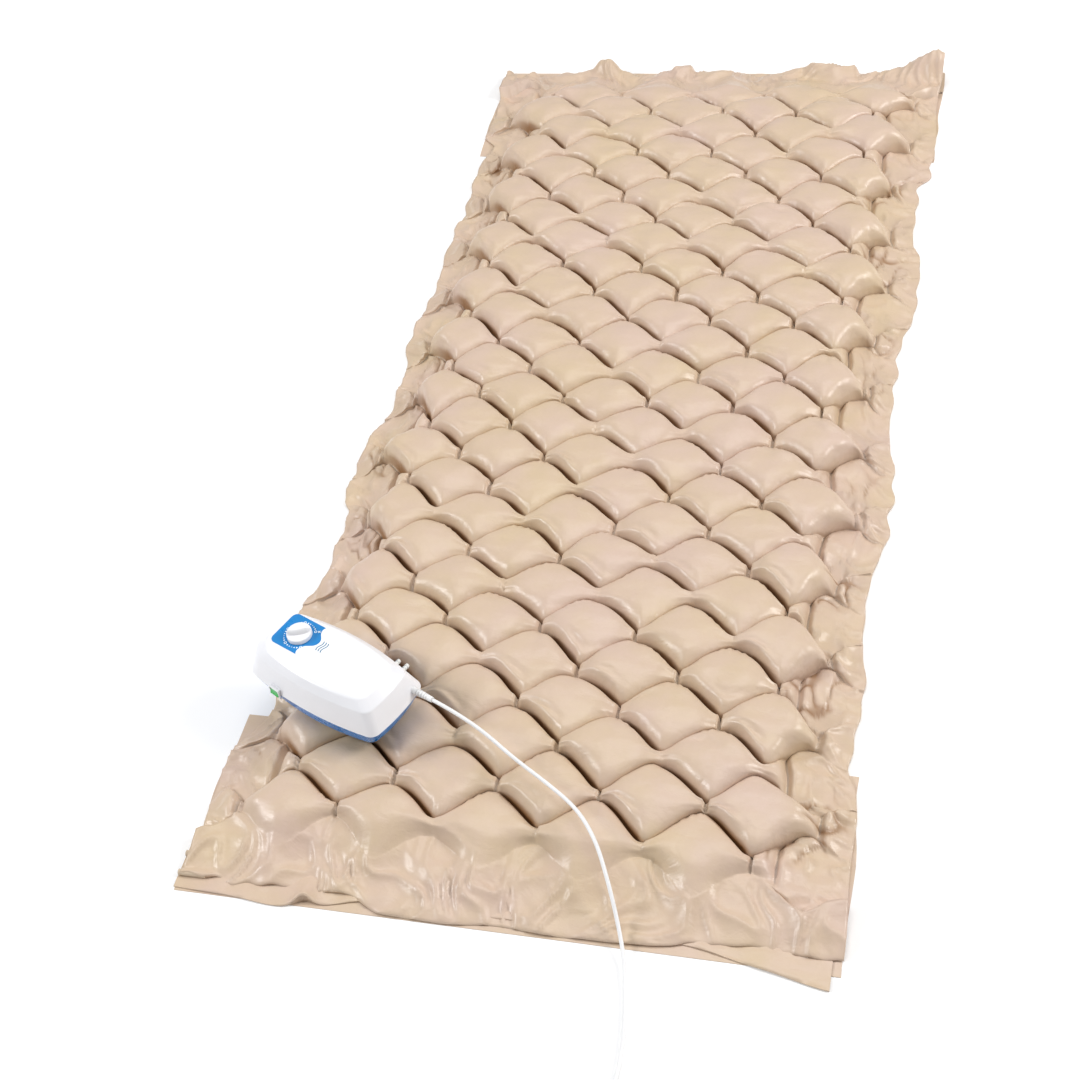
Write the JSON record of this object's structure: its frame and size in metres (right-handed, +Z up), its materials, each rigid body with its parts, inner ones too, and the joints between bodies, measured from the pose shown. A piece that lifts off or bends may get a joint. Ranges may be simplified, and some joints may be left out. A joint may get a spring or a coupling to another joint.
{
  "type": "pressure relief mattress",
  "caption": "Overlay mattress of air cells in two alternating circuits, with tuck-in end flaps and a mains air pump with a pressure dial, rocker switch and cord.",
  "frame": {"origin": "middle of the mattress's underside, on the surface it lies on", "axes": "+X to the mattress's right edge, +Y to its head end, +Z up"},
  "size_m": [0.9, 2.2805, 0.1622],
  "materials": {
    "pvc_film": "satin",
    "soft_tube": "satin",
    "case_white": "satin",
    "case_blue": "gloss",
    "label_blue": "satin",
    "label_white": "satin",
    "ink_white": "matte",
    "ink_blue": "matte",
    "knob_white": "satin",
    "rocker_green": "gloss",
    "nylon_white": "matte",
    "nylon_black": "matte",
    "steel": "satin",
    "lamination": "matte",
    "copper": "gloss",
    "magnet": "satin",
    "rubber_black": "matte",
    "silicone": "satin",
    "cord_white": "satin",
    "pin_metal": "polished",
    "fuse_glass": "gloss",
    "filter_foam": "matte"
  },
  "bodies": {
    "mattress": {"bottom_film": "pvc_film", "top_film": "pvc_film", "air_cells_circuit_a": "pvc_film", "air_cells_circuit_b": "pvc_film", "feed_channel_a": "pvc_film", "feed_channel_b": "pvc_film", "air_inlet_a": "soft_tube", "air_inlet_b": "soft_tube", "power_cord_lower": "cord_white", "power_cord_coil": "cord_white", "plug_body": "cord_white", "plug_pins": "pin_metal"},
    "foot_flap_body": {"foot_flap": "pvc_film"},
    "head_flap_body": {"head_flap": "pvc_film"},
    "pump": {"base_shell": "case_blue", "top_cover": "case_white", "label_blue": "label_blue", "label_white": "label_white", "dial_marks": "ink_white", "air_icon": "ink_blue", "pressure_valve_body": "nylon_white", "valve_nut": "steel", "switch_housing": "case_white", "rocker_pin": "steel", "switch_terminals": "pin_metal", "electromagnet_core": "lamination", "coil_bobbin": "nylon_black", "coil_winding": "copper", "arm_pivot_pins": "steel", "diaphragm_front": "rubber_black", "diaphragm_back": "rubber_black", "valve_chamber_front": "nylon_white", "valve_chamber_back": "nylon_white", "pump_chassis": "steel", "rubber_mounts": "rubber_black", "distributor_body": "nylon_white", "distributor_motor": "steel", "internal_hoses": "silicone", "outlet_nozzle_a": "nylon_white", "outlet_nozzle_b": "nylon_white", "strain_relief": "cord_white", "cord_clamp": "nylon_black", "terminal_block": "nylon_white", "fuse": "fuse_glass", "internal_wires": "rubber_black", "case_screws": "steel", "rubber_feet": "rubber_black", "intake_filter": "filter_foam", "filter_cover": "case_blue", "power_cord_upper": "cord_white"},
    "knob": {"pressure_knob": "knob_white", "knob_spindle": "steel"},
    "rocker": {"rocker_button": "rocker_green"},
    "rotor": {"distributor_rotor": "nylon_black", "motor_shaft": "steel"},
    "arm_front": {"swing_arm_front": "steel", "arm_magnet_front": "magnet"},
    "arm_back": {"swing_arm_back": "steel", "arm_magnet_back": "magnet"}
  },
  "joints": [
    {"name": "pump_lift", "type": "slide", "parent": "mattress", "child": "pump", "axis": [0, 0, 1], "range_m": [0, 0.12]},
    {"name": "foot_flap_fold", "type": "hinge", "parent": "mattress", "child": "foot_flap_body", "pos_m": [0, -1, 0.0002], "axis": [1, 0, 0], "range_deg": [-180, 0]},
    {"name": "head_flap_fold", "type": "hinge", "parent": "mattress", "child": "head_flap_body", "pos_m": [0, 1, 0.0002], "axis": [1, 0, 0], "range_deg": [0, 180]},
    {"name": "knob_turn", "type": "hinge", "parent": "pump", "child": "knob", "pos_m": [-0.34132, -0.65819, 0.1543], "axis": [0, 0, 1], "range_deg": [-2, 268]},
    {"name": "rocker_press", "type": "hinge", "parent": "pump", "child": "rocker", "pos_m": [-0.36658, -0.72503, 0.1013], "axis": [0.8727, -0.4883, 0], "range_deg": [0, 20]},
    {"name": "rotor_spin", "type": "hinge", "parent": "pump", "child": "rotor", "pos_m": [-0.21973, -0.72437, 0.0943], "axis": [0, 0, 1], "continuous": true},
    {"name": "arm_swing_front", "type": "hinge", "parent": "pump", "child": "arm_front", "pos_m": [-0.32909, -0.70447, 0.0973], "axis": [0, 0, 1], "range_deg": [-1.5, 1.5], "stiffness_Nm_per_rad": 0.2},
    {"name": "arm_swing_back", "type": "hinge", "parent": "pump", "child": "arm_back", "pos_m": [-0.30607, -0.65276, 0.0973], "axis": [0, 0, 1], "range_deg": [-1.5, 1.5], "stiffness_Nm_per_rad": 0.2}
  ],
  "couplings": [
    {"joint": "arm_swing_back", "follows": "arm_swing_front", "ratio": -1}
  ]
}
